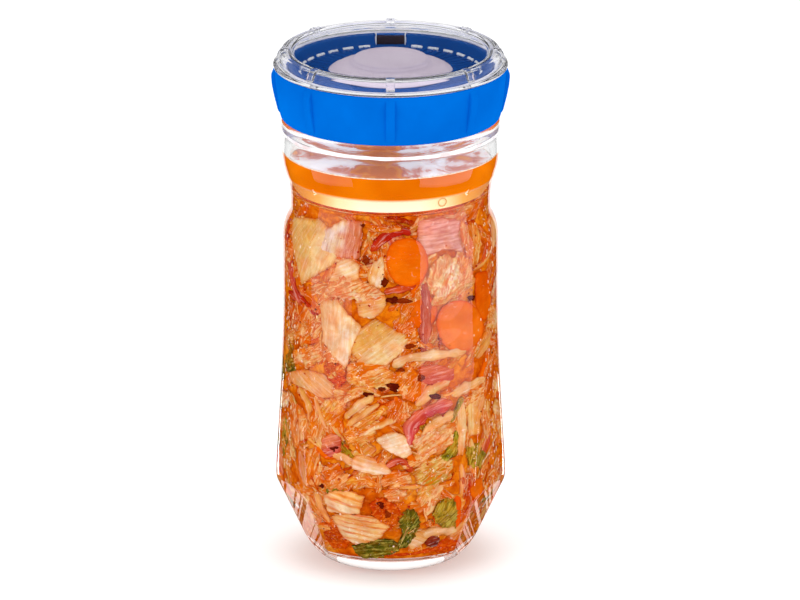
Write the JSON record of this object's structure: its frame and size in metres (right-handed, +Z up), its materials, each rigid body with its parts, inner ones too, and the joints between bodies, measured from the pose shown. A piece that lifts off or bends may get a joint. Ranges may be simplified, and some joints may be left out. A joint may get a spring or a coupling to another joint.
{
  "type": "fermentation jar of kimchi",
  "caption": "Tall waisted glass jar of kimchi in orange brine under a glass weight, with a blue screw collar, a grey airlock valve and a clear cap.",
  "frame": {"origin": "centre of the jar's base, on the surface that it stands on", "axes": "+Z up along the jar's axis; the front is -Y"},
  "size_m": [0.113, 0.113, 0.2506],
  "materials": {
    "clear_glass": "polished clear glass",
    "kimchi_mix": "wet cut vegetables in red pepper paste",
    "orange_brine": "cloudy orange liquid",
    "weight_glass": "polished clear glass under brine",
    "collar_blue": "satin moulded",
    "plate_blue": "glossy moulded",
    "tab_dark": "matte moulded",
    "valve_grey": "matte silicone",
    "cap_clear": "clear glossy plastic"
  },
  "bodies": {
    "root": {"glass_jar": "clear_glass", "kimchi": "kimchi_mix", "brine": "orange_brine", "glass_weight": "weight_glass", "lid_collar": "collar_blue", "lid_plate": "plate_blue", "back_tab": "tab_dark", "valve": "valve_grey", "clear_cap": "cap_clear"}
  },
  "joints": []
}
